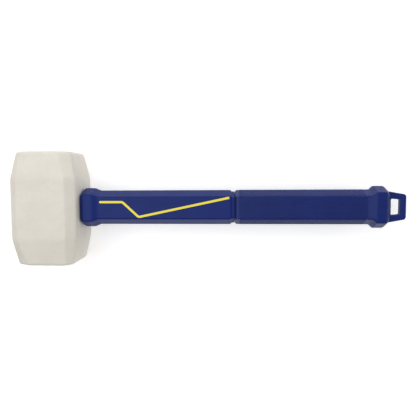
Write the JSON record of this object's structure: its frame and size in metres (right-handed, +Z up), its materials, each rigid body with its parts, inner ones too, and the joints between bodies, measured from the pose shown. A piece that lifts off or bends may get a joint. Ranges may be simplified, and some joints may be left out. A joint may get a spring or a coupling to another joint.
{
  "type": "rubber mallet",
  "caption": "Rubber mallet with a faceted white rubber head, a fibreglass-cored blue handle with a yellow line, a textured grip, and a flared pommel with a hanging loop.",
  "frame": {"origin": "on the surface that the head's side flat rests on, under the middle of the whole mallet", "axes": "+X along the handle towards the hanging loop, +Y along the head towards one strike face, +Z up, away from the surface that the mallet lies on"},
  "size_m": [0.3508, 0.1008, 0.0592],
  "materials": {
    "white_rubber": "matte",
    "adhesive": "satin",
    "fibreglass": "satin",
    "smooth_blue": "satin",
    "yellow_line": "satin",
    "textured_blue": "matte",
    "pommel_blue": "satin"
  },
  "bodies": {
    "root": {"head": "white_rubber", "eye_adhesive": "adhesive", "fibreglass_core": "fibreglass", "handle_body": "smooth_blue", "front_line": "yellow_line", "back_line": "yellow_line", "grip_sleeve": "textured_blue", "pommel": "pommel_blue"}
  },
  "joints": []
}
